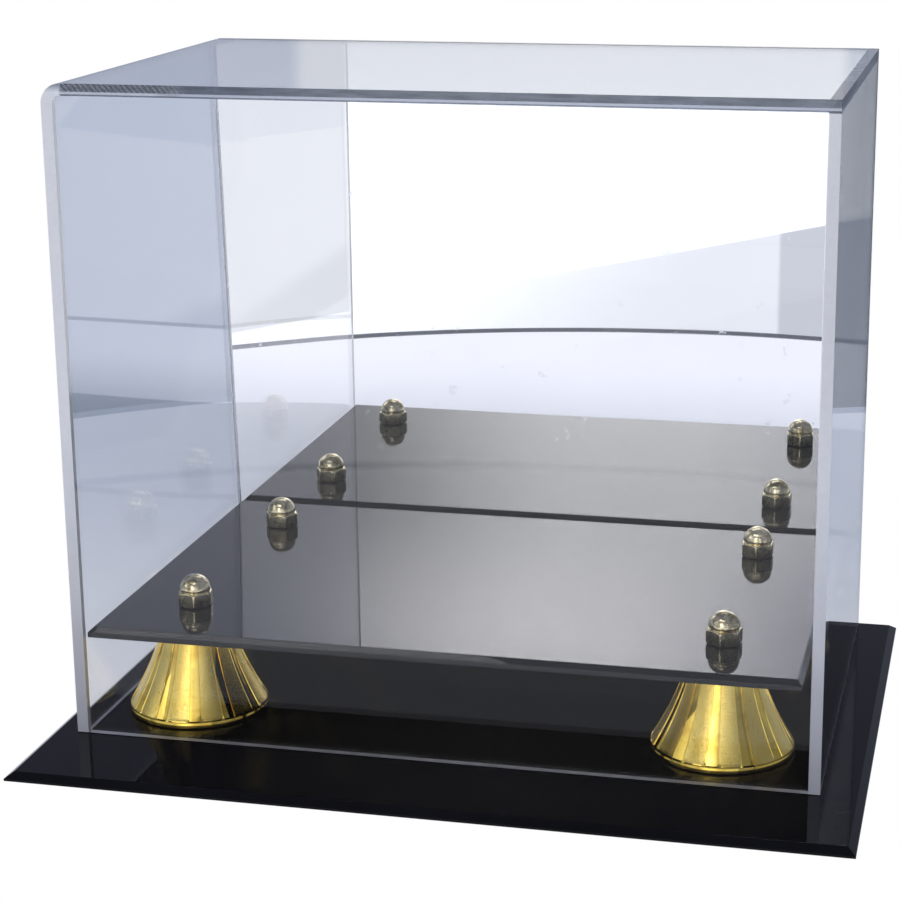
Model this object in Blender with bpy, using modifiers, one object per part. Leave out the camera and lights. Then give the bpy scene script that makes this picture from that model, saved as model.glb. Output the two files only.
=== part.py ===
"""Football display case.

A black acrylic base and a smaller black platform are clamped together over four flared risers by long
screws and domed cap nuts. A clear cover with a mirrored back panel stands on the base around the platform
and is lifted straight up off it.

Metres, +Z up, front towards -Y. The origin is on the table, under the middle of the base.
"""

import math

import bmesh
import bpy

MM = 0.001
INCH = 25.4 * MM
GAP = 0.3 * MM  # between two pieces that touch

# The cover's inside room, which fits a full size football.
ROOM_WIDTH = 11.25 * INCH
ROOM_DEPTH = 181.0 * MM
ROOM_HEIGHT = 252.9 * MM

# Sheets.
COVER_SHEET = 4.5 * MM
MIRROR_SHEET = 3.0 * MM
BASE_SHEET = 3.1 * MM
PLATFORM_SHEET = 4.0 * MM
BEND_RADIUS = 7.8 * MM  # outside of the bend at the cover's top left

# The base, and where the cover stands on it.
BASE_WIDTH = 323.0 * MM
BASE_DEPTH = 238.0 * MM
BASE_BEVEL = (3.1 * MM, 2.2 * MM)  # width and drop of the bevelled top edge
COVER_SHIFT = -2.5 * MM  # the cover stands a little left of the middle
COVER_FRONT_MARGIN = 43.9 * MM  # base left free in front of the cover

# The platform is a loose fit in the cover.
PLATFORM_WIDTH = 281.8 * MM
PLATFORM_SHIFT = -4.1 * MM
PLATFORM_CLEARANCE = 0.7 * MM  # to the front panel and to the mirror
PLATFORM_BEVEL = (2.0 * MM, 2.0 * MM)

# Risers, and the screws through them.
COLUMN_SPACING = (215.8 * MM, 109.8 * MM)  # across and front to back
COLUMN_SHIFT = -4.8 * MM
RISER_HEIGHT = 39.2 * MM
RISER_FOOT_RADIUS = 28.25 * MM
RISER_TOP_RADIUS = 13.9 * MM
RISER_RIM = 1.9 * MM  # height of the upright edge at the riser's foot
RISER_SHOULDER = 1.2 * MM  # height of the slope above that edge
RISER_LIP = 0.5 * MM  # how far the edge stands out past the flare
RISER_FLARE = 1.5  # how sharply the waist opens out
RISER_WALL = 2.2 * MM
RISER_BOSS_RADIUS = 8.5 * MM

SCREW_RADIUS = 4.0 * MM
SCREW_HOLE_RADIUS = 4.4 * MM
SCREW_HEAD_RADIUS = 7.5 * MM
SCREW_HEAD_HEIGHT = 3.3 * MM
SCREW_TIP_ROOM = 1.2 * MM  # left between the screw's tip and the end of the nut's thread

NUT_ACROSS_FLATS = 13.0 * MM
NUT_HEX_HEIGHT = 5.9 * MM
NUT_HEIGHT = 12.6 * MM
NUT_NECK = 0.75 * MM  # the upright part between the hexagon and the dome
NUT_DOME_RADIUS = 6.2 * MM
NUT_THREAD_DEPTH = 8.6 * MM
# Each nut stopped at its own angle when it was tightened: degrees from having a corner at the front.
NUT_TURNS = {"front_left": 14.6, "front_right": -5.9, "back_left": 30.0, "back_right": 0.8}

FOOT_HEIGHT = 4.7 * MM
FOOT_RADIUS = 6.35 * MM
FOOT_INSET = 16.0 * MM

# Levels above the table.
BASE_BOTTOM = FOOT_HEIGHT + GAP
BASE_TOP = BASE_BOTTOM + BASE_SHEET
RISER_BOTTOM = BASE_TOP + GAP
PLATFORM_BOTTOM = BASE_TOP + RISER_HEIGHT
PLATFORM_TOP = PLATFORM_BOTTOM + PLATFORM_SHEET
NUT_BOTTOM = PLATFORM_TOP + GAP
COVER_BOTTOM = BASE_TOP + GAP

# The cover, in its own frame: x from its middle, y from its front face, z from its bottom edge.
COVER_WIDTH = ROOM_WIDTH + 2 * COVER_SHEET
COVER_DEPTH = COVER_SHEET + ROOM_DEPTH + MIRROR_SHEET
COVER_HEIGHT = ROOM_HEIGHT + COVER_SHEET - GAP
COVER_FRONT = COVER_FRONT_MARGIN - BASE_DEPTH / 2

PLATFORM_DEPTH = ROOM_DEPTH - 2 * PLATFORM_CLEARANCE
PLATFORM_MIDDLE = COVER_FRONT + COVER_SHEET + ROOM_DEPTH / 2

ROUND = 36  # sides of a large round piece
SMALL_ROUND = 24
ARC_STEPS = 6

SIDES = {"left": -1, "right": 1}
ENDS = {"front": -1, "back": 1}


def clear_scene():
    for old in list(bpy.data.objects):
        bpy.data.objects.remove(old, do_unlink=True)


def make_collection(name):
    collection = bpy.data.collections.new(name)
    bpy.context.scene.collection.children.link(collection)
    return collection


def make_material(name, colour, metallic=0.0, roughness=0.1, transmission=0.0, ior=1.49):
    material = bpy.data.materials.new(name)
    material.use_nodes = True
    shader = material.node_tree.nodes["Principled BSDF"]
    shader.inputs["Base Color"].default_value = (*colour, 1.0)
    shader.inputs["Metallic"].default_value = metallic
    shader.inputs["Roughness"].default_value = roughness
    shader.inputs["Transmission Weight"].default_value = transmission
    shader.inputs["IOR"].default_value = ior
    return material


def add_object(name, data, collection, material=None, parent=None, location=(0, 0, 0)):
    made = bpy.data.objects.new(name, data)
    collection.objects.link(made)
    made.location = location
    made.parent = parent
    if material and not data.materials:
        data.materials.append(material)
    return made


def add_empty(name, collection, location):
    empty = bpy.data.objects.new(name, None)
    collection.objects.link(empty)
    empty.location = location
    return empty


def add_cutter(name, mesh, location=(0, 0, 0)):
    """A helper shape for Booleans, which isn't part of the object."""
    cutter = add_object(name, mesh, cutters, location=location)
    cutter.hide_render = True
    cutter.display_type = "WIRE"
    return cutter


def add_boolean(target, other, operation):
    modifier = target.modifiers.new(f"{operation.lower()}_{other.name}", "BOOLEAN")
    modifier.operation = operation
    modifier.object = other
    modifier.solver = "EXACT"


def final_mesh(made, smooth_angle=35.0):
    """The object's mesh with its modifiers applied and its corners kept sharp. The object is removed."""
    bpy.context.view_layer.update()
    graph = bpy.context.evaluated_depsgraph_get()
    mesh = bpy.data.meshes.new_from_object(made.evaluated_get(graph), depsgraph=graph)
    work = bmesh.new()
    work.from_mesh(mesh)
    bmesh.ops.remove_doubles(work, verts=work.verts, dist=0.001 * MM)
    work.to_mesh(mesh)
    work.free()
    mesh.shade_smooth()
    mesh.set_sharp_from_angle(angle=math.radians(smooth_angle))
    mesh.name = made.name
    bpy.data.objects.remove(made, do_unlink=True)
    return mesh


def turned_mesh(name, profile, steps, closed=False):
    """A profile of (radius, height) points, top to bottom down its outer side, turned about Z."""
    mesh = bpy.data.meshes.new(name)
    work = bmesh.new()
    points = [work.verts.new((radius, 0, height)) for radius, height in profile]
    for start, end in zip(points, points[1:]):
        work.edges.new((start, end))
    if closed:
        work.edges.new((points[-1], points[0]))
    work.to_mesh(mesh)
    work.free()
    made = add_object(name, mesh, cutters)
    screw = made.modifiers.new("turn", "SCREW")
    screw.steps = steps
    screw.render_steps = steps
    screw.use_merge_vertices = True
    screw.merge_threshold = 0.01 * MM
    return final_mesh(made)


def cylinder_mesh(name, radius, bottom, top, sides):
    mesh = bpy.data.meshes.new(name)
    work = bmesh.new()
    bmesh.ops.create_cone(
        work, cap_ends=True, segments=sides, radius1=radius, radius2=radius, depth=top - bottom
    )
    bmesh.ops.translate(work, verts=work.verts, vec=(0, 0, (top + bottom) / 2))
    work.to_mesh(mesh)
    work.free()
    return mesh


def outline_mesh(name, outline, thickness):
    """A flat outline in the XZ plane, given as (x, z) points, made into a sheet from y 0 to its thickness."""
    curve = bpy.data.curves.new(name, "CURVE")
    curve.dimensions = "2D"
    curve.fill_mode = "BOTH"
    curve.extrude = thickness / 2
    spline = curve.splines.new("POLY")
    spline.points.add(len(outline) - 1)
    for point, (x, z) in zip(spline.points, outline):
        point.co = (x, z, 0, 1)
    spline.use_cyclic_u = True
    mesh = final_mesh(add_object(name, curve, cutters))
    bpy.data.curves.remove(curve)
    for vertex in mesh.vertices:
        x, z, y = vertex.co
        vertex.co = (x, thickness / 2 - y, z)
    return mesh


def corner_arc(centre, radius, start, end):
    """Points of an arc from one angle to another, in degrees."""
    angles = [math.radians(start + (end - start) * i / ARC_STEPS) for i in range(ARC_STEPS + 1)]
    return [(centre[0] + radius * math.cos(a), centre[1] + radius * math.sin(a)) for a in angles]


def plate_mesh(name, width, depth, thickness, bevel):
    """A sheet standing on z 0, its top edge bevelled all round."""
    bevel_width, bevel_drop = bevel
    mesh = bpy.data.meshes.new(name)
    work = bmesh.new()
    bmesh.ops.create_cube(work, size=1.0)
    land = thickness - bevel_drop
    bmesh.ops.scale(work, verts=work.verts, vec=(width, depth, land))
    bmesh.ops.translate(work, verts=work.verts, vec=(0, 0, land / 2))
    top = [face for face in work.faces if face.normal.z > 0.5]
    bmesh.ops.inset_region(
        work, faces=top, thickness=bevel_width, depth=bevel_drop, use_even_offset=True
    )
    work.to_mesh(mesh)
    work.free()
    return mesh


def column_positions():
    """The middle of each riser: its name and its place on the base."""
    for end, back in ENDS.items():
        for side, right in SIDES.items():
            x = COLUMN_SHIFT + right * COLUMN_SPACING[0] / 2
            y = PLATFORM_MIDDLE + back * COLUMN_SPACING[1] / 2
            yield f"{end}_{side}", x, y


def make_plates(black):
    base_mesh = plate_mesh("base_plate", BASE_WIDTH, BASE_DEPTH, BASE_SHEET, BASE_BEVEL)
    base = add_object("base_plate", base_mesh, parts, black, stand, (0, 0, BASE_BOTTOM))
    platform_mesh = plate_mesh(
        "platform_plate",
        PLATFORM_WIDTH,
        PLATFORM_DEPTH,
        PLATFORM_SHEET,
        PLATFORM_BEVEL,
    )
    platform_place = (PLATFORM_SHIFT, PLATFORM_MIDDLE, PLATFORM_BOTTOM)
    platform = add_object("platform_plate", platform_mesh, parts, black, stand, platform_place)
    drill = cylinder_mesh("screw_hole", SCREW_HOLE_RADIUS, 0, NUT_BOTTOM + GAP, SMALL_ROUND)
    for place, x, y in column_positions():
        hole = add_cutter(f"screw_hole_{place}", drill, (x, y, 0))
        add_boolean(base, hole, "DIFFERENCE")
        add_boolean(platform, hole, "DIFFERENCE")


def riser_radius(height):
    """The riser's outside at a height above its foot."""
    shoulder_top = RISER_RIM + RISER_SHOULDER
    waist = (height - shoulder_top) / (RISER_HEIGHT - shoulder_top)
    flare = RISER_FOOT_RADIUS - RISER_LIP - RISER_TOP_RADIUS
    return RISER_TOP_RADIUS + flare * (1 - waist) ** RISER_FLARE


def make_risers(gold):
    """Hollow flared columns with a central boss that carries the screw's clamping load."""
    top = RISER_HEIGHT - 2 * GAP
    shoulder_top = RISER_RIM + RISER_SHOULDER
    flare_steps = 9
    outside = [
        (riser_radius(height), height)
        for height in (top + (shoulder_top - top) * i / flare_steps for i in range(flare_steps + 1))
    ]
    rim = [(RISER_FOOT_RADIUS, RISER_RIM), (RISER_FOOT_RADIUS, 0)]
    web = top - RISER_WALL
    inside_steps = 5
    inside = [
        (riser_radius(max(height, shoulder_top)) - RISER_WALL, height)
        for height in (web * i / inside_steps for i in range(inside_steps + 1))
    ]
    boss = [(RISER_BOSS_RADIUS, web), (RISER_BOSS_RADIUS, 0), (SCREW_HOLE_RADIUS, 0)]
    profile = [(SCREW_HOLE_RADIUS, top), *outside, *rim, *inside, *boss]
    mesh = turned_mesh("riser", profile, ROUND, closed=True)
    for place, x, y in column_positions():
        add_object(f"riser_{place}", mesh, parts, gold, stand, (x, y, RISER_BOTTOM))


def make_screws(steel):
    """Pan head screws from under the base up into the cap nuts."""
    head_top = BASE_BOTTOM - GAP
    head_bottom = head_top - SCREW_HEAD_HEIGHT
    tip = NUT_BOTTOM + NUT_THREAD_DEPTH - SCREW_TIP_ROOM
    chamfer = 0.8 * MM
    edge_drop, shoulder_drop = 1.4 * MM, 2.6 * MM
    shoulder_inset, crown_inset = 0.9 * MM, 2.6 * MM
    profile = [
        (0, tip),
        (SCREW_RADIUS - chamfer, tip),
        (SCREW_RADIUS, tip - chamfer),
        (SCREW_RADIUS, head_top),
        (SCREW_HEAD_RADIUS, head_top),
        (SCREW_HEAD_RADIUS, head_top - edge_drop),
        (SCREW_HEAD_RADIUS - shoulder_inset, head_top - shoulder_drop),
        (SCREW_HEAD_RADIUS - crown_inset, head_bottom),
        (0, head_bottom),
    ]
    blank = add_object("screw_blank", turned_mesh("screw_blank", profile, SMALL_ROUND), cutters)
    recess_length, recess_width, recess_depth = 8.0 * MM, 1.5 * MM, 1.8 * MM
    for turn in (0, 90):
        work = bmesh.new()
        bmesh.ops.create_cube(work, size=1.0)
        bmesh.ops.scale(work, verts=work.verts, vec=(recess_length, recess_width, 2 * recess_depth))
        slot_mesh = bpy.data.meshes.new("recess")
        work.to_mesh(slot_mesh)
        work.free()
        slot = add_cutter(f"recess_{turn}", slot_mesh, (0, 0, head_bottom))
        slot.rotation_euler.z = math.radians(turn)
        add_boolean(blank, slot, "DIFFERENCE")
    mesh = final_mesh(blank)
    for place, x, y in column_positions():
        add_object(f"screw_{place}", mesh, parts, steel, stand, (x, y, 0))


def make_cap_nuts(plated):
    """Hexagon nuts with a domed cap and a blind thread from below."""
    corner_radius = NUT_ACROSS_FLATS / 2 / math.cos(math.radians(30))
    flat_radius = NUT_ACROSS_FLATS / 2
    hexagon = add_object(
        "nut_blank", cylinder_mesh("nut_blank", corner_radius, 0, NUT_HEX_HEIGHT, 6), cutters
    )
    slope = math.tan(math.radians(30))
    chamfer_drop = (corner_radius - flat_radius) * slope
    spare = 1 * MM
    reach = corner_radius + spare
    lead_in, below = 0.6 * MM, 0.2 * MM
    lathe_profile = [
        (0, NUT_HEX_HEIGHT + spare),
        (flat_radius - spare / slope, NUT_HEX_HEIGHT + spare),
        (reach, NUT_HEX_HEIGHT - chamfer_drop - spare * slope),
        (reach, lead_in),
        (flat_radius, -below),
        (0, -below),
    ]
    chamfer = add_cutter("nut_chamfer", turned_mesh("nut_chamfer", lathe_profile, ROUND))
    add_boolean(hexagon, chamfer, "INTERSECT")
    dome_height = NUT_HEIGHT - NUT_HEX_HEIGHT - NUT_NECK
    dome_steps = 6
    dome_profile = [
        (
            NUT_DOME_RADIUS * math.sin(math.radians(90 * i / dome_steps)),
            NUT_HEIGHT - dome_height + dome_height * math.cos(math.radians(90 * i / dome_steps)),
        )
        for i in range(dome_steps + 1)
    ]
    dome_profile += [(NUT_DOME_RADIUS, NUT_HEX_HEIGHT - spare), (0, NUT_HEX_HEIGHT - spare)]
    dome = add_cutter("nut_dome", turned_mesh("nut_dome", dome_profile, SMALL_ROUND))
    add_boolean(hexagon, dome, "UNION")
    thread_mesh = cylinder_mesh(
        "nut_thread", SCREW_RADIUS + GAP, -spare, NUT_THREAD_DEPTH, SMALL_ROUND
    )
    add_boolean(hexagon, add_cutter("nut_thread", thread_mesh), "DIFFERENCE")
    mesh = final_mesh(hexagon, smooth_angle=25.0)
    for place, x, y in column_positions():
        nut = add_object(f"cap_nut_{place}", mesh, parts, plated, stand, (x, y, NUT_BOTTOM))
        nut.rotation_euler.z = math.radians(NUT_TURNS[place])


def make_feet(rubber):
    edge, taper = 1.0 * MM, 0.6 * MM
    profile = [
        (0, FOOT_HEIGHT),
        (FOOT_RADIUS, FOOT_HEIGHT),
        (FOOT_RADIUS - taper, edge),
        (FOOT_RADIUS - taper - edge, 0),
        (0, 0),
    ]
    mesh = turned_mesh("foot", profile, SMALL_ROUND)
    for end, back in ENDS.items():
        for side, right in SIDES.items():
            x = right * (BASE_WIDTH / 2 - FOOT_INSET)
            y = back * (BASE_DEPTH / 2 - FOOT_INSET)
            add_object(f"foot_{end}_{side}", mesh, parts, rubber, stand, (x, y, 0))


def make_cover(clear, mirror):
    """Four sheets glued into a box with no bottom: a bent wrap, a right wall, a front and a mirrored back."""
    half = COVER_WIDTH / 2
    room_half = ROOM_WIDTH / 2
    room_top = COVER_HEIGHT - COVER_SHEET
    inner_radius = BEND_RADIUS - COVER_SHEET
    outer_bend = (-half + BEND_RADIUS, COVER_HEIGHT - BEND_RADIUS)
    wrap_outline = [
        (-half, 0),
        *reversed(corner_arc(outer_bend, BEND_RADIUS, 90, 180)),
        (half, COVER_HEIGHT),
        (half, room_top),
        *corner_arc(outer_bend, inner_radius, 90, 180),
        (-room_half, 0),
    ]
    # The wrap runs the whole depth. Everything else is glued inside it.
    wrap = outline_mesh("cover_wrap", wrap_outline, COVER_DEPTH)
    wall_outline = [
        (room_half, 0),
        (half, 0),
        (half, room_top - GAP),
        (room_half, room_top - GAP),
    ]
    wall = outline_mesh("cover_right_wall", wall_outline, COVER_DEPTH)

    panel_radius = inner_radius
    panel_left, panel_right, panel_top = -room_half + GAP, room_half - GAP, room_top - GAP
    panel_corner = (panel_left + panel_radius, panel_top - panel_radius)
    panel_outline = [
        (panel_left, 0),
        *reversed(corner_arc(panel_corner, panel_radius, 90, 180)),
        (panel_right, panel_top),
        (panel_right, 0),
    ]
    front = outline_mesh("cover_front_panel", panel_outline, COVER_SHEET)
    back = outline_mesh("mirror_back_panel", panel_outline, MIRROR_SHEET)

    mirror_y = COVER_DEPTH - MIRROR_SHEET
    for mesh in (wrap, wall, front):
        add_object(mesh.name, mesh, parts, clear, cover, (0, 0, 0))
    add_object(back.name, back, parts, mirror, cover, (0, mirror_y, 0))


clear_scene()
parts = make_collection("football_display_case")
cutters = make_collection("cutters")
cutters.hide_render = True

stand = add_empty("stand", parts, (0, 0, 0))
# The cover's empty is where the cover slides: it moves straight up from here.
cover = add_empty("cover", parts, (COVER_SHIFT, COVER_FRONT, COVER_BOTTOM))

black_acrylic = make_material("black_acrylic", (0.012, 0.012, 0.014), roughness=0.06)
gold_plate = make_material("gold_plate", (0.83, 0.66, 0.25), metallic=1.0, roughness=0.16)
plated_brass = make_material("plated_brass", (0.72, 0.68, 0.52), metallic=1.0, roughness=0.15)
zinc_steel = make_material("zinc_steel", (0.6, 0.6, 0.58), metallic=1.0, roughness=0.3)
black_rubber = make_material("black_rubber", (0.03, 0.03, 0.03), roughness=0.8)
clear_acrylic = make_material("clear_acrylic", (0.93, 0.95, 1.0), roughness=0.0, transmission=1.0)
mirror_acrylic = make_material("mirror_acrylic", (0.9, 0.91, 0.93), metallic=1.0, roughness=0.02)

make_plates(black_acrylic)
make_risers(gold_plate)
make_screws(zinc_steel)
make_cap_nuts(plated_brass)
make_feet(black_rubber)
make_cover(clear_acrylic, mirror_acrylic)
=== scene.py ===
import math

import bmesh
import bpy
from mathutils import Matrix, Vector


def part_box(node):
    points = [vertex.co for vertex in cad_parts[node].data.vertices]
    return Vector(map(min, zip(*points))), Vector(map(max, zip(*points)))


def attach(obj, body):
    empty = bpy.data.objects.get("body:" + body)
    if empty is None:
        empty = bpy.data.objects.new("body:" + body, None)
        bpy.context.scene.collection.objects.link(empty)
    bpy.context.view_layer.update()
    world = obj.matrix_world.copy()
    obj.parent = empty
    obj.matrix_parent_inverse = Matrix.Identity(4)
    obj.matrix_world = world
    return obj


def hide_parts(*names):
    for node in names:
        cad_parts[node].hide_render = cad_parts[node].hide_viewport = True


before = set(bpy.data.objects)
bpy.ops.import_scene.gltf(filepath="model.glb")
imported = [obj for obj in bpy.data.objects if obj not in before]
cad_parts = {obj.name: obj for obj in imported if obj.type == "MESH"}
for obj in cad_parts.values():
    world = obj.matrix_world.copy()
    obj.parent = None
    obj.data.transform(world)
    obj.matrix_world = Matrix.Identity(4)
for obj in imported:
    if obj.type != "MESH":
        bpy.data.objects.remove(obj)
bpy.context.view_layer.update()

MM = 0.001
ACRYLIC_IOR = 1.49
BOND = 0.02 * MM  # between glued sheets
BEND_RADIUS = 7.8 * MM
COVER_STEP = 9 * MM  # the longest edge along the cover's sheets
COAT = 0.15 * MM  # the mirror's silver and paint together
SCREW_HOLE = 4.4 * MM  # radius
CALM = (0.42, 0.42, 0.42, 1.0)  # dims what the polished sheets reflect face on
PLATE_EDGE = 0.18 * MM
ENDS = ("front", "back")
SIDES = ("left", "right")
PLACES = [f"{end}_{side}" for end in ENDS for side in SIDES]


# ---------------------------------------------------------------- node helpers


class Material:
    """A Principled material whose colour, roughness, bump and alpha come from procedural nodes."""

    def __init__(self, name, **constants):
        self.data = bpy.data.materials.new(name)
        self.data.use_nodes = True
        self.tree = self.data.node_tree
        self.shader = self.tree.nodes["Principled BSDF"]
        self.place = self.add("ShaderNodeTexCoord").outputs["Object"]
        for name, value in constants.items():
            socket = name.replace("_", " ").title().replace("Ior", "IOR")
            self.shader.inputs[socket].default_value = value

    def add(self, kind, **settings):
        node = self.tree.nodes.new(kind)
        for name, value in settings.items():
            setattr(node, name, value)
        return node

    def link(self, source, target):
        self.tree.links.new(source, target)

    def set(self, socket, source):
        self.link(source, self.shader.inputs[socket])

    def stretched(self, scale, turn=(0, 0, 0)):
        """The place on the object, scaled along each axis after a turn in degrees."""
        mapping = self.add("ShaderNodeMapping")
        mapping.inputs["Scale"].default_value = scale
        mapping.inputs["Rotation"].default_value = [math.radians(a) for a in turn]
        self.link(self.place, mapping.inputs["Vector"])
        return mapping.outputs["Vector"]

    def noise(self, scale, detail=3.0, roughness=0.5, vector=None):
        node = self.add("ShaderNodeTexNoise")
        node.inputs["Scale"].default_value = scale
        node.inputs["Detail"].default_value = detail
        node.inputs["Roughness"].default_value = roughness
        self.link(vector or self.place, node.inputs["Vector"])
        return node.outputs["Fac"]

    def cells(self, scale, randomness=1.0):
        node = self.add("ShaderNodeTexVoronoi")
        node.inputs["Scale"].default_value = scale
        node.inputs["Randomness"].default_value = randomness
        self.link(self.place, node.inputs["Vector"])
        return node.outputs["Distance"]

    def stripes(self, scale, distortion=0.0, vector=None):
        node = self.add("ShaderNodeTexWave")
        node.inputs["Scale"].default_value = scale
        node.inputs["Distortion"].default_value = distortion
        node.inputs["Detail"].default_value = 2.0
        node.inputs["Detail Scale"].default_value = 1.5
        self.link(vector or self.place, node.inputs["Vector"])
        return node.outputs["Fac"]

    def axis(self, name):
        node = self.add("ShaderNodeSeparateXYZ")
        self.link(self.place, node.inputs[0])
        return node.outputs[name]

    def span(self, source, low, high, to_low=0.0, to_high=1.0):
        """A value mapped from one range to another, and held at the ends."""
        node = self.add("ShaderNodeMapRange")
        self.link(source, node.inputs["Value"])
        for socket, value in zip(("From Min", "From Max", "To Min", "To Max"), (low, high, to_low, to_high)):
            node.inputs[socket].default_value = value
        return node.outputs["Result"]

    def math(self, operation, first, second):
        node = self.add("ShaderNodeMath", operation=operation)
        for socket, value in zip(node.inputs, (first, second)):
            if isinstance(value, (int, float)):
                socket.default_value = value
            else:
                self.link(value, socket)
        return node.outputs[0]

    def blend(self, amount, first, second):
        """One colour turning into another."""
        node = self.add("ShaderNodeMix", data_type="RGBA")
        self.link(amount, node.inputs["Factor"])
        for socket, value in (("A", first), ("B", second)):
            target = [i for i in node.inputs if i.name == socket and i.type == "RGBA"][0]
            if isinstance(value, tuple):
                target.default_value = (*value, 1.0)
            else:
                self.link(value, target)
        return [o for o in node.outputs if o.type == "RGBA"][0]

    def bump(self, height, strength, distance):
        node = self.add("ShaderNodeBump")
        node.inputs["Strength"].default_value = strength
        node.inputs["Distance"].default_value = distance
        self.link(height, node.inputs["Height"])
        self.set("Normal", node.outputs["Normal"])


# ---------------------------------------------------------------- materials


def black_acrylic(name, shine):
    """Polished cast sheet: nearly black, with faint wiping haze and a few specks of dust."""
    m = Material(name, ior=ACRYLIC_IOR, specular_ior_level=shine)
    haze = m.noise(14, 5, 0.6)
    sheet = m.blend(m.span(haze, 0.35, 0.7), (0.004, 0.004, 0.0055), (0.007, 0.007, 0.010))
    dust = m.span(m.cells(75), 0.010, 0.018, 1.0, 0.0)
    m.set("Base Color", m.blend(dust, sheet, (0.10, 0.10, 0.11)))
    m.set("Roughness", m.math("ADD", m.span(haze, 0.4, 0.75, 0.0, 0.012), m.span(dust, 0, 1, 0, 0.4)))
    m.bump(m.noise(12, 1), 0.02, 0.1 * MM)
    return m.data


def gold(name, grained):
    """Bright gold plating, either polished or with a fine pebble grain."""
    m = Material(name, metallic=1.0)
    cloud = m.noise(110, 4, 0.6)
    plating = m.blend(m.span(cloud, 0.4, 0.75), (0.97, 0.75, 0.21), (0.90, 0.64, 0.13))
    if grained:
        grain = m.noise(3300, 3, 0.65)
        pits = m.span(grain, 0.52, 0.64)
        m.set("Base Color", m.blend(pits, plating, (0.50, 0.34, 0.08)))
        m.bump(grain, 0.55, 0.10 * MM)
        m.set("Roughness", m.span(pits, 0, 1, 0.20, 0.34))
    else:
        m.set("Base Color", m.blend(m.span(cloud, 0.45, 0.65), (0.88, 0.64, 0.13), (0.68, 0.45, 0.07)))
        m.bump(m.noise(420, 3), 0.10, 0.05 * MM)
        m.set("Roughness", m.span(cloud, 0.35, 0.7, 0.03, 0.07))
    return m.data


def nut_plating(name, colour, tarnish_and_shade, rough):
    """Pale brass plating, a little tarnished and pitted."""
    m = Material(name, metallic=1.0)
    spots = m.noise(280, 5, 0.7)
    # The second colour is the tarnished spots'. The copy for the flat faces is darker throughout: painted
    # shade.
    m.set("Base Color", m.blend(m.span(spots, 0.46, 0.60), colour, tarnish_and_shade))
    m.set("Roughness", m.span(m.noise(700, 3), 0.3, 0.7, rough * 0.7, rough * 1.4))
    m.bump(m.math("ADD", spots, m.noise(2600, 2)), 0.25, 0.12 * MM)
    return m.data


def zinc_steel():
    m = Material("zinc_plated_steel", metallic=1.0)
    crystals = m.noise(700, 5, 0.65)
    m.set("Base Color", m.blend(m.span(crystals, 0.4, 0.65), (0.62, 0.62, 0.60), (0.44, 0.46, 0.48)))
    m.set("Roughness", m.span(crystals, 0.3, 0.7, 0.22, 0.38))
    m.bump(m.noise(2600, 3), 0.2, 0.05 * MM)
    return m.data


def rubber():
    m = Material("black_rubber")
    grain = m.noise(1400, 4, 0.6)
    m.set("Base Color", m.blend(m.span(grain, 0.4, 0.7), (0.018, 0.018, 0.018), (0.040, 0.040, 0.038)))
    m.set("Roughness", m.span(grain, 0.3, 0.7, 0.65, 0.85))
    m.bump(grain, 0.35, 0.2 * MM)
    return m.data


def clear_acrylic():
    """The sheets' large faces: polished, faintly blue, with a little haze and some hairline wipes."""
    m = Material("clear_acrylic_face", ior=ACRYLIC_IOR, transmission_weight=1.0, specular_tint=CALM)
    haze = m.noise(9, 5, 0.6)
    m.set("Base Color", m.blend(m.span(haze, 0.3, 0.7), (0.985, 0.99, 1.0), (0.965, 0.975, 0.995)))
    wipes = m.noise(60, 2, 0.5, m.stretched((0.15, 1, 6), (0, 20, 0)))
    m.set("Roughness", m.span(m.math("MULTIPLY", haze, wipes), 0.34, 0.45, 0.0, 0.012))
    return m.data


# Places on the cover, in metres. Each is a pair that a material fades between.
FRONT_HALF_Y = (-0.01, 0.0)
TOP_BACK_END_Y = (0.09, 0.10)
BEND_END_X = (-0.1425, -0.1415)
SAW_MARKS_END_X = (-0.103, -0.092)
BLISTERS_START_X = (0.139, 0.140)
BLISTERS_FRONT_Y = (-0.020, -0.010)
BLISTERS_BACK_Y = (0.060, 0.070)
LEFT_JOINT_X = (-0.14, -0.135)
LEFT_GLUE_X = (-0.139, -0.135)
FLECKS_START_Z = (0.225, 0.24)
SPOT_Z = (0.2325, 0.2495)
SPOT_Y = (0.1098, 0.1112)


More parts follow.
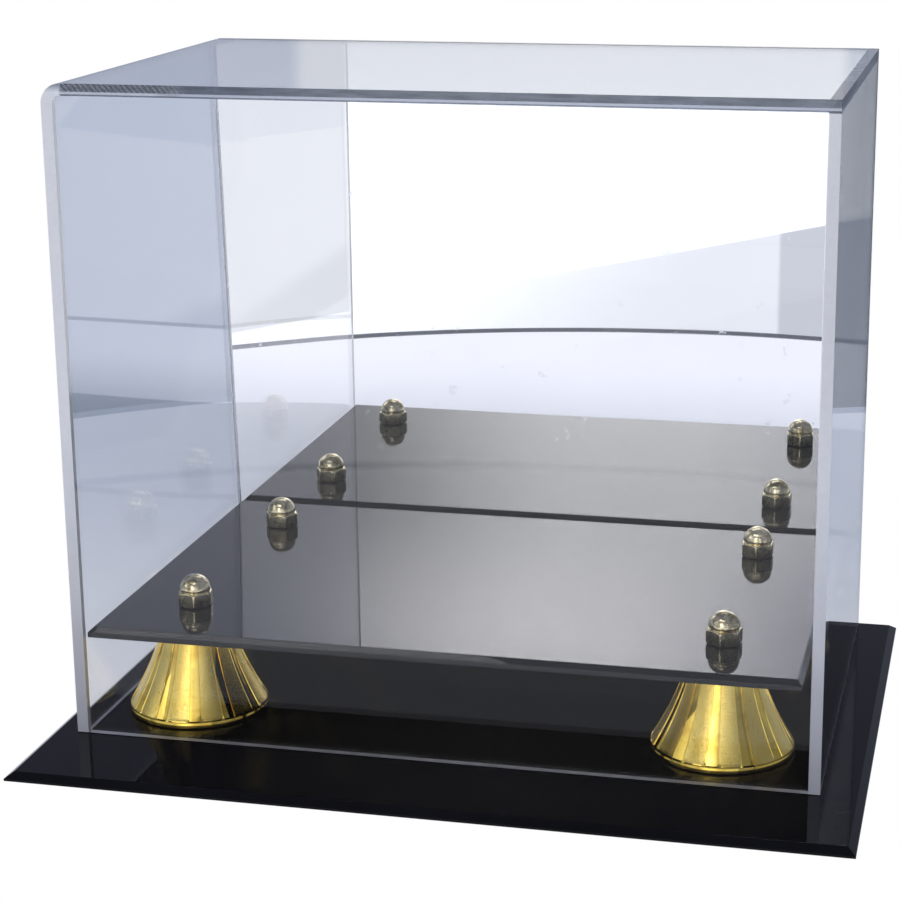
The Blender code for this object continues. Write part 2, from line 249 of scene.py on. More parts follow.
def sawn_edge(top_sheet):
    """The sheets' ends are sawn and frosted, but the top sheet's are polished right of the bend.

    Its front end has painted shade, a dark grey band over its upper part with the saw's slanting marks at
    the left, and below that painted light, a pale and less clear band, though the face stays polished.
    It is tinted grey at the back, and dark glue shows along the bottom of its polished ends. The frosted
    ends have painted shade too: darker low down, and dark grey in the bend's upper part.
    top_sheet is the height of its underside.
    """
    m = Material("clear_acrylic_edge", ior=ACRYLIC_IOR)
    height = m.axis("Z")

    def above_underside(low, high, *values):
        return m.span(height, top_sheet + low * MM, top_sheet + high * MM, *values)

    flat_part = m.span(m.axis("X"), *BEND_END_X)
    polished = m.math("MULTIPLY", flat_part, above_underside(-0.05, 0.05))
    front = m.span(m.axis("Y"), *FRONT_HALF_Y, 1.0, 0.0)
    upper = above_underside(1.75, 1.95)
    # Painted shade: a dark grey band over the upper part of the top sheet's polished front end.
    tarnish_and_shade = m.math("MULTIPLY", m.math("MULTIPLY", front, flat_part), upper)
    marks = m.stripes(190, 0.8, m.stretched((1, 1, 1), (0, 40, 0)))
    marked = m.math("MULTIPLY", tarnish_and_shade, m.span(m.axis("X"), *SAW_MARKS_END_X, 1.0, 0.0))
    cut = m.math("MULTIPLY", marks, marked)
    streaks = m.noise(90, 3, 0.6, m.stretched((1, 1, 9)))
    # The painted shade is streaked, and darkest in the saw's marks.
    grey = m.blend(m.span(streaks, 0.35, 0.65), (0.06, 0.08, 0.11), (0.20, 0.23, 0.28))
    grey = m.blend(m.span(cut, 0.3, 0.75), grey, (0.030, 0.038, 0.050))
    frosted = m.blend(m.noise(420, 4, 0.7), (0.80, 0.83, 0.90), (0.97, 0.98, 1.0))
    # Painted shade: the frosted ends are darker low down, and dark grey in the bend's upper part.
    frosted = m.blend(m.span(height, 0.03, 0.13), (0.62, 0.64, 0.69), frosted)
    frosted = m.blend(above_underside(1.5, 4.5), frosted, (0.20, 0.23, 0.30))
    back_end = m.span(m.axis("Y"), *TOP_BACK_END_Y)
    polish = m.blend(back_end, (0.95, 0.965, 0.99), (0.34, 0.37, 0.43))
    # Painted light: below the dark band the polished front end is given a pale, less clear band.
    painted_pale_band = m.math("MULTIPLY", polished, m.math("SUBTRACT", front, tarnish_and_shade))
    polish = m.blend(painted_pale_band, polish, (0.74, 0.79, 0.88))
    tone = m.blend(tarnish_and_shade, m.blend(polished, frosted, polish), grey)
    glue_line = m.math("MULTIPLY", polished, above_underside(0.8, 0.95, 1, 0))
    m.set("Base Color", m.blend(glue_line, tone, (0.10, 0.12, 0.16)))
    clear = m.math("SUBTRACT", polished, m.math("MULTIPLY", painted_pale_band, 0.6))
    m.set("Transmission Weight", m.span(clear, 0, 1, 0.45, 1.0))
    m.set("Roughness", m.math("ADD", m.span(polished, 0, 1, 0.32, 0.010), m.span(cut, 0, 1, 0, 0.08)))
    m.bump(m.math("ADD", cut, m.span(m.noise(700, 3), 0.3, 0.7, 0, 0.06)), 0.6, 0.4 * MM)
    return m.data


def glued_joint():
    """Faces that meet in a glued joint. The glue takes away the boundary, except at its flaws."""
    m = Material("glued_joint", ior=ACRYLIC_IOR, roughness=0.12)
    gaps = m.span(m.noise(130, 4, 0.7), 0.655, 0.67)
    bubbles = m.span(m.cells(420), 0.10, 0.13, 1.0, 0.0)
    bubbles = m.math("MULTIPLY", bubbles, m.span(m.noise(55, 2), 0.56, 0.6))
    # A row of blisters over the right wall.
    row = m.math("MULTIPLY", m.span(m.axis("X"), *BLISTERS_START_X), m.span(m.axis("Y"), *BLISTERS_FRONT_Y))
    row = m.math("MULTIPLY", row, m.span(m.axis("Y"), *BLISTERS_BACK_Y, 1.0, 0.0))
    blisters = m.math("MULTIPLY", row, m.span(m.noise(130, 1), 0.54, 0.57))
    # A dark, unfilled oval in the mirror's left joint, in line with the sheet.
    along = m.span(m.axis("Z"), *SPOT_Z, -1.0, 1.0)
    across = m.span(m.axis("Y"), *SPOT_Y, -1.0, 1.0)
    distance = m.math("ADD", m.math("MULTIPLY", along, along), m.math("MULTIPLY", across, across))
    left_joint = m.span(m.axis("X"), *LEFT_JOINT_X, 1.0, 0.0)
    spot = m.math("MULTIPLY", m.span(distance, 0.8, 1.0, 1.0, 0.0), left_joint)
    # Thick, milky glue along the front panel's left end, with white flecks near its top.
    at_left = m.span(m.axis("X"), *LEFT_GLUE_X, 1.0, 0.0)
    milky = m.math("MULTIPLY", at_left, m.span(m.axis("Y"), *FRONT_HALF_Y, 1.0, 0.0))
    flecks = m.math("MULTIPLY", milky, m.span(m.axis("Z"), *FLECKS_START_Z))
    flecks = m.math("MULTIPLY", flecks, m.span(m.noise(240, 3, 0.7), 0.52, 0.56))
    pale = m.math("MAXIMUM", m.math("MAXIMUM", blisters, flecks), milky)
    glue = m.blend(pale, (0.93, 0.95, 0.98), (0.98, 0.98, 1.0))
    m.set("Base Color", m.blend(spot, glue, (0.03, 0.03, 0.03)))
    m.set("Transmission Weight", m.span(pale, 0, 1, 1.0, 0.15))
    open_joint = m.math("MAXIMUM", m.math("MAXIMUM", gaps, bubbles), m.math("MAXIMUM", blisters, spot))
    m.set("Alpha", m.math("MAXIMUM", open_joint, milky))
    return m.data


def silvering():
    """The mirror's silver, with the slightest waviness."""
    m = Material("mirror_silvering", metallic=1.0)
    m.set("Base Color", m.blend(m.noise(6, 2), (0.93, 0.94, 0.95), (0.90, 0.91, 0.93)))
    m.set("Roughness", m.span(m.noise(20, 4), 0.3, 0.7, 0.0, 0.012))
    m.bump(m.noise(11, 1), 0.035, 1 * MM)
    return m.data


def backing_paint():
    """The grey paint that covers the silver's back, with a fine sprayed texture and light scuffs."""
    m = Material("mirror_backing_paint")
    spray = m.noise(900, 4, 0.6)
    scuffs = m.noise(70, 6, 0.75, m.stretched((0.5, 1, 4), (0, 25, 0)))
    coat = m.blend(spray, (0.21, 0.22, 0.23), (0.26, 0.27, 0.28))
    m.set("Base Color", m.blend(m.span(scuffs, 0.62, 0.72), coat, (0.38, 0.39, 0.40)))
    m.set("Roughness", m.span(spray, 0.3, 0.7, 0.42, 0.6))
    m.bump(spray, 0.25, 0.1 * MM)
    return m.data


# ---------------------------------------------------------------- mesh helpers


def make_piece(mesh, materials, body, node, sharp):
    """A finished mesh as a piece that rides on a body. It stands for a CAD node, unless node is None."""
    for material in materials:
        mesh.materials.append(material)
    mesh.shade_smooth()
    mesh.set_sharp_from_angle(angle=math.radians(sharp))
    piece = bpy.data.objects.new(mesh.name, mesh)
    bpy.context.scene.collection.objects.link(piece)
    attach(piece, body)
    if node:
        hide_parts(node)
    return piece


def finish_mesh(name, work):
    same_point = 0.0005 * MM
    bmesh.ops.remove_doubles(work, verts=work.verts, dist=same_point)
    bmesh.ops.recalc_face_normals(work, faces=work.faces)
    mesh = bpy.data.meshes.new(name)
    work.to_mesh(mesh)
    work.free()
    return mesh


def around(name, columns, closed, pick=None):
    """A skin over columns of points that stand round an axis. closed joins each column's ends."""
    work = bmesh.new()
    grid = [[work.verts.new(point) for point in column] for column in columns]
    rows = len(grid[0])
    for i, column in enumerate(grid):
        other = grid[(i + 1) % len(grid)]
        for row in range(rows if closed else rows - 1):
            up = (row + 1) % rows
            face = work.faces.new((column[row], other[row], other[up], column[up]))
            face.material_index = pick(i, row) if pick else 0
    return finish_mesh(name, work)


def turned(name, profile, steps, centre):
    """A profile of (radius, height) points turned about an upright axis."""
    columns = []
    for i in range(steps):
        a = 2 * math.pi * i / steps
        columns.append([(centre[0] + r * math.cos(a), centre[1] + r * math.sin(a), z) for r, z in profile])
    return around(name, columns, closed=False)


def arc(centre, radius, start, end, steps):
    angles = [math.radians(start + (end - start) * i / steps) for i in range(steps + 1)]
    return [(centre[0] + radius * math.cos(a), centre[1] + radius * math.sin(a)) for a in angles]


def divided(outline, step):
    """An outline of (x, z, kind) points, with more of them along its long sides."""
    points = []
    for (x, z, kind), (next_x, next_z, _) in zip(outline, outline[1:] + outline[:1]):
        count = max(1, round(math.dist((x, z), (next_x, next_z)) / step))
        for i in range(count):
            points.append((x + (next_x - x) * i / count, z + (next_z - z) * i / count, kind))
    return points


def extruded(name, outline, cuts, side_slot, cap_slots):
    """A sheet with an XZ outline, drawn out along Y. side_slot(kind, y) picks each side face's material."""
    outline = divided(outline, COVER_STEP)
    work = bmesh.new()
    rings = [[work.verts.new((x, y, z)) for x, z, _ in outline] for y in cuts]
    for near, far, y in zip(rings, rings[1:], [(a + b) / 2 for a, b in zip(cuts, cuts[1:])]):
        for i, (_, _, kind) in enumerate(outline):
            j = (i + 1) % len(outline)
            face = work.faces.new((near[i], near[j], far[j], far[i]))
            face.material_index = side_slot(kind, y)
    for ring, slot in zip((rings[0], rings[-1]), cap_slots):
        work.faces.new(ring).material_index = slot
    return finish_mesh(name, work)


def centre_of(node):
    low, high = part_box(node)
    return (low + high) / 2


# ---------------------------------------------------------------- plates


def drill_holes(piece, places, radius):
    """Cuts the screw holes right through a plate."""
    drill_length, drill_middle = 0.1, 0.03
    for x, y in places:
        work = bmesh.new()
        bmesh.ops.create_cone(
            work, cap_ends=True, segments=64, radius1=radius, radius2=radius, depth=drill_length
        )
        bmesh.ops.translate(work, verts=work.verts, vec=(x, y, drill_middle))
        cutter = bpy.data.objects.new("drill", finish_mesh("drill", work))
        bpy.context.scene.collection.objects.link(cutter)
        cut = piece.modifiers.new("hole", "BOOLEAN")
        cut.operation = "DIFFERENCE"
        cut.object = cutter
        cut.solver = "EXACT"
        bpy.context.view_layer.update()
        drilled = piece.evaluated_get(bpy.context.evaluated_depsgraph_get())
        piece.data = bpy.data.meshes.new_from_object(drilled)
        piece.modifiers.remove(cut)
        bpy.data.objects.remove(cutter)


def make_plate(node, bevel, material):
    """A sheet with a bevelled top edge and slightly softened corners."""
    low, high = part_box(node)
    width, drop = bevel
    work = bmesh.new()
    bmesh.ops.create_cube(work, size=1.0)
    size = high - low
    bmesh.ops.scale(work, verts=work.verts, vec=(size.x, size.y, size.z - drop))
    middle = (low + high) / 2
    bmesh.ops.translate(work, verts=work.verts, vec=(middle.x, middle.y, middle.z - drop / 2))
    top = [face for face in work.faces if face.normal.z > 0.5]
    bmesh.ops.inset_region(work, faces=top, thickness=width, depth=drop, use_even_offset=True)
    bmesh.ops.bevel(work, geom=work.edges, offset=PLATE_EDGE, segments=2, affect="EDGES", profile=0.5)
    mesh = finish_mesh(node + "_sheet", work)
    piece = make_piece(mesh, [material], "stand", node, sharp=2)
    columns = [centre_of(f"riser_{place}") for place in PLACES]
    drill_holes(piece, [(c.x, c.y) for c in columns], SCREW_HOLE)


# ---------------------------------------------------------------- risers

# How deep the strips and panels lie under the raised ribs.
STRIP_DEPTH = 0.32 * MM
PANEL_DEPTH = 0.14 * MM
# Angles in degrees. A flute is one strip, one panel and the ribs beside them.
FLUTES = 12
FLUTE = 30
RIB = 0.75
STRIP_HALF = 4.7
# Where a polished strip's middle comes on each riser, from straight in front.
STRIP_TURNS = {"front_left": 16.0, "front_right": -1.0, "back_left": 9.0, "back_right": 21.0}


def riser_stations():
    """Angles round one flute, each with its depth and whether grained panel follows it."""
    edge = 0.28
    panel_steps = 7
    panel_start = STRIP_HALF + RIB
    panel_end = FLUTE - panel_start
    stations = [(a, STRIP_DEPTH, False) for a in (-3.1, -1.5, 0.0, 1.5, 3.1, STRIP_HALF - edge)]
    stations += [(STRIP_HALF, 0.0, False), (panel_start, 0.0, False)]
    panel = [panel_start + edge]
    panel += [panel_start + (panel_end - panel_start) * i / panel_steps for i in range(1, panel_steps)]
    stations += [(a, PANEL_DEPTH, True) for a in panel]
    stations += [(panel_end - edge, PANEL_DEPTH, False), (panel_end, 0.0, False)]
    stations += [(panel_end + RIB, 0.0, False), (panel_end + RIB + edge, STRIP_DEPTH, False)]
    return stations


def riser_outline(height):
    """The riser's outside from foot to top: (radius, height, how far the flutes are sunk)."""
    rim, shoulder, flare = 1.9 * MM, 1.2 * MM, 1.5
    foot, lip, top_radius = 28.25 * MM, 0.5 * MM, 13.9 * MM

    def radius(z):
        climb = (z - rim - shoulder) / (height - rim - shoulder)
        return top_radius + (foot - lip - top_radius) * max(0.0, 1 - climb) ** flare

    low, high, run_in = 2.75 * MM, height - 2.6 * MM, 0.3 * MM
    rows = [(foot - 0.3 * MM, 0, 0), (foot - 0.06 * MM, 0.1 * MM, 0), (foot, 0.35 * MM, 0)]
    rows += [(foot, rim - 0.3 * MM, 0), (foot - 0.08 * MM, rim, 0), (foot - 0.25 * MM, rim + 0.35 * MM, 0)]
    rows += [(radius(low) + 0.03 * MM, low, 0), (radius(low + run_in), low + run_in, 1)]
    steps = 30
    for i in range(1, steps):
        z = low + run_in + (high - low - 2 * run_in) * i / steps
        rows.append((radius(z), z, 1))
    rows += [(radius(high - run_in), high - run_in, 1), (radius(high), high, 0)]
    rows += [(radius(height), height, 0)]
    return rows


def make_risers(grained, polished):
    """Hollow flared columns: grained panels and polished strips, sunk between fine raised ribs."""
    low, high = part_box("riser_front_left")
    height = high.z - low.z
    outside = riser_outline(height)
    wall, boss = 2.2 * MM, 8.5 * MM
    web = height - wall
    inside = [(r - wall, z) for r, z, _ in reversed(outside) if z < web]
    inner = [(SCREW_HOLE, height), (SCREW_HOLE, 0), (boss, 0), (boss, web)]
    stations = riser_stations()
    sunk_rows = [i for i, row in enumerate(outside) if row[2]]
    for place in PLACES:
        centre = centre_of(f"riser_{place}")
        columns = []
        for flute in range(FLUTES):
            for angle, depth, _ in stations:
                # 0 faces the front, and angles go round towards the right.
                a = math.radians(angle + FLUTE * flute + STRIP_TURNS[place] - 90)
                points = [(r - depth * sunk, z) for r, z, sunk in outside]
                points += inner + inside
                columns.append(
                    [
                        (centre.x + r * math.cos(a), centre.y + r * math.sin(a), low.z + z)
                        for r, z in points
                    ]
                )

        def surface(column, row):
            in_panel = stations[column % len(stations)][2]
            return 0 if in_panel and sunk_rows[0] <= row < sunk_rows[-1] else 1

        mesh = around(f"riser_{place}_fluted", columns, closed=True, pick=surface)
        make_piece(mesh, [grained, polished], "stand", f"riser_{place}", sharp=28)


# ---------------------------------------------------------------- cap nuts, screws and feet

# Where each nut stopped: degrees from having a corner at the front.
NUT_TURNS = {"front_left": 14.6, "front_right": -5.9, "back_left": 30.0, "back_right": 0.8}
NUT_STEPS = 144
FLAT_STEPS = NUT_STEPS // 6
FLAT_ROW = 6  # the face of nut_profile's outline that runs up a flat


def hexagon_radius(angle, across_flats):
    """A hexagon with slightly rounded corners, the first of them at angle 0."""
    corner = (math.degrees(angle) + 30) % 60 - 30
    flat = across_flats / 2 / math.cos(math.radians(30 - abs(corner)))
    depth, reach = 0.22 * MM, 4.0
    return flat - depth * max(0.0, 1 - abs(corner) / reach) ** 2


def rounded(before, corner, after, reach):
    """Three points that round a corner of a profile."""
    points = []
    for end in (before, after):
        length = math.dist(end, corner)
        share = min(reach, 0.45 * length) / max(length, 1e-9)  # at most nearly half of a short side
        points.append(tuple(c + (e - c) * share for c, e in zip(corner, end)))
    middle = tuple((a + 2 * c + b) / 4 for a, c, b in zip(points[0], corner, points[1]))
    return [points[0], middle, points[1]]


def nut_profile(hexagon, flat, hex_height, height):
    """A cap nut's outline at one angle, from the top of its blind hole out and up to the dome's tip."""
    bore, thread = 4.3 * MM, 8.6 * MM
    slope = math.tan(math.radians(30))
    rim = flat - 0.25 * MM
    chamfer = (hexagon - rim) * slope
    low, high = (hexagon, chamfer * 0.8), (hexagon, hex_height - chamfer)
    land = (rim, hex_height)
    neck, dome = 6.0 * MM, 6.22 * MM
    reach = 0.2 * MM
    profile = [(0, thread), (bore, thread), (bore, 0), (rim, 0)]
    profile += rounded((rim, 0), low, high, reach)
    profile += rounded(low, high, land, reach)
    profile += [land, (neck, hex_height + 0.02 * MM), (neck, hex_height + 0.3 * MM)]
    base = hex_height + 0.75 * MM
    profile += [(dome - 0.06 * MM, hex_height + 0.5 * MM)]
    profile += [(r, base + (z - base) * (height - base) / dome) for r, z in arc((0, base), dome, 0, 90, 14)]
    return profile


def make_nuts(polished, shaded_flats):
    """Domed cap nuts. The six flat faces take a darker, rougher copy of the plating: painted shade, partly a
    rougher finish. The dome and the rounded corners keep the brighter plating.
    """
    across, hex_height = 13.0 * MM, 5.9 * MM

    def on_flat(column, row):
        return 1 if row == FLAT_ROW and 1 <= column % FLAT_STEPS <= FLAT_STEPS - 2 else 0

    for place in PLACES:
        low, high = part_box(f"cap_nut_{place}")
        centre = (low + high) / 2
        columns = []
        for i in range(NUT_STEPS):
            a = 2 * math.pi * i / NUT_STEPS
            turn = a + math.radians(NUT_TURNS[place] - 90)
            dx, dy = math.cos(turn), math.sin(turn)
            profile = nut_profile(hexagon_radius(a, across), across / 2, hex_height, high.z - low.z)
            columns.append([(centre.x + r * dx, centre.y + r * dy, low.z + z) for r, z in profile])
        mesh = around(f"cap_nut_{place}_domed", columns, False, on_flat)
        make_piece(mesh, [polished, shaded_flats], "stand", f"cap_nut_{place}", sharp=40)


def make_feet(material):
    """Rubber bumpers with a softened lower edge."""
    for place in PLACES:
        low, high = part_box(f"foot_{place}")
        centre, radius = (low + high) / 2, (high.x - low.x) / 2
        edge = 1.2 * MM
        lower = radius - 0.6 * MM
        profile = [(0, high.z), (radius - 0.1 * MM, high.z), (radius, high.z - 0.1 * MM)]
        profile += [(r, low.z + z) for r, z in arc((lower - edge, edge), edge, 0, -90, 6)]
        profile += [(0, low.z)]
        mesh = turned(f"foot_{place}_bumper", profile, 64, centre)
        make_piece(mesh, [material], "stand", f"foot_{place}", sharp=30)


def finish_screws(material):
    for place in PLACES:
        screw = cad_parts[f"screw_{place}"]
        screw.data.materials.clear()
        screw.data.materials.append(material)
        screw.data.shade_smooth()
        screw.data.set_sharp_from_angle(angle=math.radians(30))


# ---------------------------------------------------------------- cover

FACE, EDGE, JOINT = 0, 1, 2  # the order of the clear sheets' materials
COVER_SHARP = 20
LEAN = 5.4 * MM  # how far the left wall's upper back corner stands out of square


def kinds(points, kind):
    return [(x, z, kind) for x, z in points]


def lean_out(mesh, low, high):
    """The bent wall isn't quite square to the back: it leans out towards its upper back corner."""
    size = high - low
    for vertex in mesh.vertices:
        place = vertex.co - low
        share = (1 - place.x / size.x) * (place.y / size.y) * (place.z / size.z)
        vertex.co.x -= LEAN * share


def make_cover(face, edge, joint, silver, paint):
    """The cover's sheets. Where two are glued, their meeting faces take the joint's material."""
    low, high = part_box("cover_wrap")
    wall_low, wall_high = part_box("cover_right_wall")
    sheet = wall_high.x - wall_low.x
    room_left, room_right, room_top = low.x + sheet, high.x - sheet, high.z - sheet
    front_y, back_y = low.y, high.y
    panel_y, mirror_y = low.y + sheet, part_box("mirror_back_panel")[0].y
    room_cuts = round((mirror_y - panel_y) / COVER_STEP)
    cuts = [panel_y + (mirror_y - panel_y) * i / room_cuts for i in range(room_cuts + 1)]
    cuts = [front_y, *cuts, back_y]
    bend = (low.x + BEND_RADIUS, high.z - BEND_RADIUS)
    inner_bend = BEND_RADIUS - sheet
    steps = 14

    def slot(kind, y):
        if kind == "end":
            return EDGE
        in_glue = kind == "inner" and not panel_y < y < mirror_y
        return JOINT if in_glue or kind == "joint" else FACE

    outline = kinds([(low.x, low.z), *arc(bend, BEND_RADIUS, 180, 90, steps)], "outer")
    outline += [(high.x, high.z, "end"), (high.x, room_top, "joint"), (room_right, room_top, "inner")]
    outline += kinds(arc(bend, inner_bend, 90, 180, steps), "inner") + [(room_left, low.z, "end")]
    wrap = extruded("cover_wrap_sheet", outline, cuts, slot, (EDGE, EDGE))

    top = room_top - BOND
    outline = [(room_right, low.z, "end"), (high.x, low.z, "outer")]
    outline += [(high.x, top, "joint"), (room_right, top, "inner")]
    wall = extruded("cover_right_wall_sheet", outline, cuts, slot, (EDGE, EDGE))

    corner = arc(bend, inner_bend - BOND, 180, 90, steps)
    panel = kinds([(room_left + BOND, low.z), *corner, (room_right - BOND, top)], "joint")
    panel += [(room_right - BOND, low.z, "end")]
    front = extruded("cover_front_sheet", panel, [front_y, panel_y], slot, (FACE, FACE))
    coat = back_y - COAT
    glass = extruded("mirror_clear_sheet", panel, [mirror_y, coat - BOND], slot, (FACE, JOINT))
    backing = extruded("mirror_silver_and_paint", panel, [coat, back_y], lambda kind, y: 1, (0, 1))

    for mesh in (wrap, wall, front, glass, backing):
        lean_out(mesh, low, high)
    clear = [face, edge, joint]
    make_piece(wrap, clear, "cover", "cover_wrap", COVER_SHARP)
    make_piece(wall, clear, "cover", "cover_right_wall", COVER_SHARP)
    make_piece(front, clear, "cover", "cover_front_panel", COVER_SHARP)
    make_piece(glass, clear, "cover", "mirror_back_panel", COVER_SHARP)
    make_piece(backing, [silver, paint], "cover", None, COVER_SHARP)


# ---------------------------------------------------------------- studio


class Glow:
    """A self-lit stage material: plain white to the camera, the studio's own tones in reflections."""

    def __init__(self, tree, output, shader):
        self.tree = tree
        place = tree.nodes.new("ShaderNodeTexCoord")
        split = tree.nodes.new("ShaderNodeSeparateXYZ")
        # A world has no object, and its Generated coordinates are the direction looked in.
        self.link(place.outputs["Object" if shader == "ShaderNodeEmission" else "Generated"], split.inputs[0])
        self.x, self.y, self.z = split.outputs
        path = tree.nodes.new("ShaderNodeLightPath")
        mix = tree.nodes.new("ShaderNodeMixShader")
        self.tone = tree.nodes.new(shader)
        white = tree.nodes.new(shader)
        white.inputs["Color"].default_value = (1, 1, 1, 1)
        self.link(path.outputs["Is Camera Ray"], mix.inputs["Fac"])
        self.link(self.tone.outputs[0], mix.inputs[1])
        self.link(white.outputs[0], mix.inputs[2])
        self.link(mix.outputs[0], output)

    def link(self, source, target):
        self.tree.links.new(source, target)

    def span(self, source, low, high):
        node = self.tree.nodes.new("ShaderNodeMapRange")
        node.interpolation_type = "SMOOTHSTEP"
        node.inputs["From Min"].default_value = low
        node.inputs["From Max"].default_value = high
        self.link(source, node.inputs["Value"])
        return node.outputs["Result"]

    def line(self, across, along, offset):
        """across * x + along * y + offset"""
        products = []
        for source, factor in ((self.x, across), (self.y, along)):
            node = self.tree.nodes.new("ShaderNodeMath")
            node.operation = "MULTIPLY"
            node.inputs[1].default_value = factor
            self.link(source, node.inputs[0])
            products.append(node.outputs[0])
        total = self.tree.nodes.new("ShaderNodeMath")
        total.operation = "ADD"
        self.link(products[0], total.inputs[0])
        self.link(products[1], total.inputs[1])
        final = self.tree.nodes.new("ShaderNodeMath")
        final.operation = "ADD"
        final.inputs[1].default_value = offset
        self.link(total.outputs[0], final.inputs[0])
        return final.outputs[0]

    def blend(self, amount, first, second):
        node = self.tree.nodes.new("ShaderNodeMix")
        node.data_type = "VECTOR"
        self.link(amount, node.inputs[0])
        for target, value in ((node.inputs[4], first), (node.inputs[5], second)):
            if isinstance(value, tuple):
                target.default_value = value
            else:
                self.link(value, target)
        return node.outputs[1]

    def times(self, first, second):
        node = self.tree.nodes.new("ShaderNodeMath")
        node.operation = "MULTIPLY"
        self.link(first, node.inputs[0])
        self.link(second, node.inputs[1])
        return node.outputs[0]

    def finish(self, tone):
        self.link(tone, self.tone.inputs["Color"])


def glow_material(name):
    material = bpy.data.materials.new(name)
    material.use_nodes = True
    tree = material.node_tree
    tree.nodes.remove(tree.nodes["Principled BSDF"])
    return material, Glow(tree, tree.nodes["Material Output"].inputs["Surface"], "ShaderNodeEmission")


# How far an edge between two tones is blurred to each side, in the units of Glow.line.
EDGE_BLUR = 0.004
FINE_EDGE_BLUR = 0.002


def slanting_white(glow):
    """Bright to the right of a slanting edge, and dimmer to its left."""
    edge = glow.span(glow.line(1.0, -0.31, 0.127), -EDGE_BLUR, EDGE_BLUR)
    return glow.blend(edge, (0.90, 0.90, 0.92), (1.4, 1.4, 1.4))


def table_material():
    """Pale in front, and greyer and bluer round the case and behind it."""
    material, glow = glow_material("table_top")
    tone = glow.blend(glow.span(glow.y, -0.42, -0.12), (1.06, 1.05, 1.12), (0.70, 0.72, 0.80))
    glow.finish(glow.blend(glow.span(glow.y, -0.05, 0.35), tone, (0.48, 0.53, 0.65)))
    return material


def floor_material():
    """White in front beyond a slanting edge, dimmer at both sides; grey-blue behind, darker to the right."""
    material, glow = glow_material("studio_floor")
    grey = glow.blend(glow.span(glow.x, -0.30, -0.05), (1.30, 1.32, 1.35), (0.95, 0.955, 1.0))
    right = glow.span(glow.line(1.0, -0.103, -0.0942), -FINE_EDGE_BLUR, FINE_EDGE_BLUR)
    grey = glow.blend(right, grey, (0.66, 0.67, 0.73))
    white = slanting_white(glow)
    front = glow.blend(glow.span(glow.line(-1.41, -1.0, -0.960), -EDGE_BLUR, EDGE_BLUR), grey, white)
    front = glow.blend(glow.span(glow.x, 0.09, 0.13), front, (1.05, 1.05, 1.08))
    # Painted shadow: behind, the floor is darkest next to the table's edge.
    left = glow.blend(glow.span(glow.y, 0.42, 0.62), (0.21, 0.25, 0.34), (0.42, 0.47, 0.59))
    back = glow.blend(glow.span(glow.x, -0.15, 0.15), left, (0.14, 0.16, 0.21))
    glow.finish(glow.blend(glow.span(glow.y, -0.35, -0.15), front, back))
    return material


# Painted shadow: a dark ring round the table's edge, darker in front than behind.
def table_edge_shadow_material():
    material, glow = glow_material("table_edge_shadow")
    glow.finish(glow.blend(glow.span(glow.y, -0.2, 0.2), (0.12, 0.13, 0.16), (0.30, 0.35, 0.46)))
    return material


def panel_material():
    """A big diffusing panel: brightest high in its middle, and darker towards both ends."""
    material, glow = glow_material("front_panel")
    low = glow.blend(glow.span(glow.x, 0.05, 0.15), slanting_white(glow), (1.05, 1.05, 1.08))
    middle = glow.blend(glow.span(glow.x, -0.70, -0.30), (0.6, 0.6, 0.63), (2.3, 2.25, 2.2))
    middle = glow.blend(glow.span(glow.x, -0.20, 0.20), middle, (1.3, 1.3, 1.45))
    high = glow.blend(glow.span(glow.x, -0.80, -0.36), (0.75, 0.77, 0.85), (3.5, 3.35, 3.3))
    high = glow.blend(glow.span(glow.x, -0.32, 0.10), high, (1.15, 1.15, 1.30))
    tone = glow.blend(glow.span(glow.z, 0.12, 0.35), low, middle)
    tone = glow.blend(glow.span(glow.z, 0.56, 0.78), tone, high)
    glow.finish(glow.blend(glow.span(glow.x, 0.15, 0.50), tone, (0.80, 0.82, 0.92)))
    return material


def add_stage(name, work, material):
    mesh = finish_mesh(name, work)
    mesh.materials.append(material)
    stage = bpy.data.objects.new(name, mesh)
    bpy.context.scene.collection.objects.link(stage)
    return stage


def add_ring(name, outer, inner, centre, height, material):
    """A flat ring, or a disc where the inner radius is 0."""
    work = bmesh.new()
    steps = 256
    rings = []
    for radius in (outer, inner) if inner else (outer,):
        ring = []
        for i in range(steps):
            a = 2 * math.pi * i / steps
            point = (centre[0] + radius * math.cos(a), centre[1] + radius * math.sin(a), height)
            ring.append(work.verts.new(point))
        rings.append(ring)
    if inner:
        for i in range(steps):
            j = (i + 1) % steps
            work.faces.new((rings[0][i], rings[0][j], rings[1][j], rings[1][i]))
    else:
        work.faces.new(rings[0])
    add_stage(name, work, material)


def add_panel(name, corners, material):
    work = bmesh.new()
    work.faces.new([work.verts.new(corner) for corner in corners])
    panel = add_stage(name, work, material)
    panel.visible_camera = False


def add_softbox(name, location, target, size, brightness):
    """A rectangular light that faces a point. brightness is its radiance."""
    data = bpy.data.lights.new(name, "AREA")
    data.shape = "RECTANGLE"
    data.size, data.size_y = size
    data.energy = brightness * math.pi * size[0] * size[1]
    light = bpy.data.objects.new(name, data)
    bpy.context.scene.collection.objects.link(light)
    light.location = location
    aim = Vector(target) - light.location
    light.rotation_euler = aim.to_track_quat("-Z", "Y").to_euler()
    light.visible_camera = False


def make_world():
    """Dark above, with a paler band low down that is brightest a little to the left."""
    world = bpy.data.worlds.new("studio")
    bpy.context.scene.world = world
    world.use_nodes = True
    tree = world.node_tree
    tree.nodes.remove(tree.nodes["Background"])
    glow = Glow(tree, tree.nodes["World Output"].inputs["Surface"], "ShaderNodeBackground")
    low = glow.blend(glow.span(glow.x, -0.6, 0.6), (0.36, 0.40, 0.50), (0.34, 0.37, 0.46))
    card = glow.times(glow.span(glow.x, -0.318, -0.308), glow.span(glow.x, -0.072, -0.080))
    low = glow.blend(card, low, (0.58, 0.60, 0.66))
    high = (0.24, 0.255, 0.335)
    glow.finish(glow.blend(glow.span(glow.z, 0.16, 0.24), low, high))


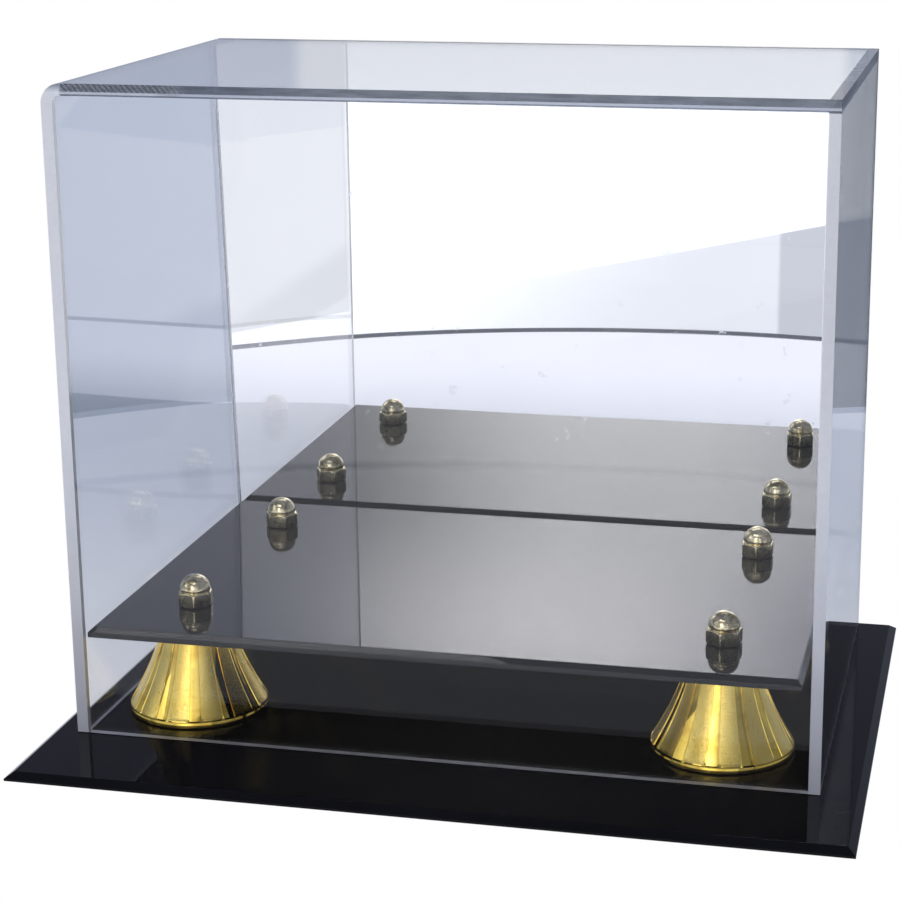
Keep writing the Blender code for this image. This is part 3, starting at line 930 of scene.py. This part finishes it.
def make_studio():
    centre, radius, shadow_width, top = (-0.005, 0.024), 0.534, 0.014, -0.1 * MM
    add_ring("table", radius, 0, centre, top, table_material())
    # Just outside the table lies its painted edge shadow.
    add_ring("table_edge_shadow_ring", radius + shadow_width, radius, centre, top, table_edge_shadow_material())
    floor_radius, floor_height = 12.0, -2 * MM
    add_ring("floor", floor_radius, 0, (0, 0), floor_height, floor_material())
    left, right, distance = -2.4, 1.1, -1.6
    low, high = -0.001, 1.25
    corners = [(left, distance, low), (right, distance, low), (right, distance, high), (left, distance, high)]
    add_panel("front_panel", corners, panel_material())
    make_world()
    add_softbox("side_softbox", (-1.4, -0.7, 0.9), (0.0, 0.0, 0.05), (0.8, 0.8), 1.1)
    add_softbox("front_softbox", (-0.35, -1.0, 1.75), (-0.1, 0.0, 0.05), (1.3, 0.45), 2.2)


def make_camera():
    """Eye height just above the cover, a little to the right of its middle, with a long lens."""
    data = bpy.data.cameras.new("camera")
    data.sensor_width = 36.0
    data.lens = 89.07
    data.shift_x = -0.0856
    data.shift_y = -0.0316
    data.clip_start = 0.05
    camera = bpy.data.objects.new("camera", data)
    bpy.context.scene.collection.objects.link(camera)
    place = (0.2047, -0.8435, 0.35435)
    left_turn, downward, roll_angle = 12.52, 14.83, -0.25
    turn = Matrix.Rotation(math.radians(left_turn), 4, "Z")
    tilt = Matrix.Rotation(math.radians(90 - downward), 4, "X")
    roll = Matrix.Rotation(math.radians(roll_angle), 4, "Z")
    camera.matrix_world = Matrix.Translation(place) @ turn @ tilt @ roll
    bpy.context.scene.camera = camera


def set_light_paths():
    """Clear sheets and a mirror need long paths. The picture keeps plain, uncompressed tones."""
    scene = bpy.context.scene
    scene.view_settings.view_transform = "Standard"
    scene.cycles.max_bounces = 28
    scene.cycles.transmission_bounces = 24
    scene.cycles.glossy_bounces = 16
    scene.cycles.transparent_max_bounces = 32


set_light_paths()
make_camera()
make_studio()

make_plate("base_plate", (3.1 * MM, 2.2 * MM), black_acrylic("black_base_sheet", 0.11))
make_plate("platform_plate", (2.0 * MM, 2.0 * MM), black_acrylic("black_platform_sheet", 0.5))
make_risers(gold("gold_grained", True), gold("gold_polished", False))
# The flat faces' plating is a darker copy of the dome's: painted shade, partly a rougher finish.
make_nuts(
    nut_plating("nut_bright", (0.72, 0.64, 0.42), (0.28, 0.23, 0.12), 0.13),
    nut_plating("nut_flats_painted_shade", (0.33, 0.30, 0.20), (0.17, 0.15, 0.09), 0.32),
)
finish_screws(zinc_steel())
make_feet(rubber())
top_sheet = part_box("cover_right_wall")[1].z
make_cover(clear_acrylic(), sawn_edge(top_sheet), glued_joint(), silvering(), backing_paint())
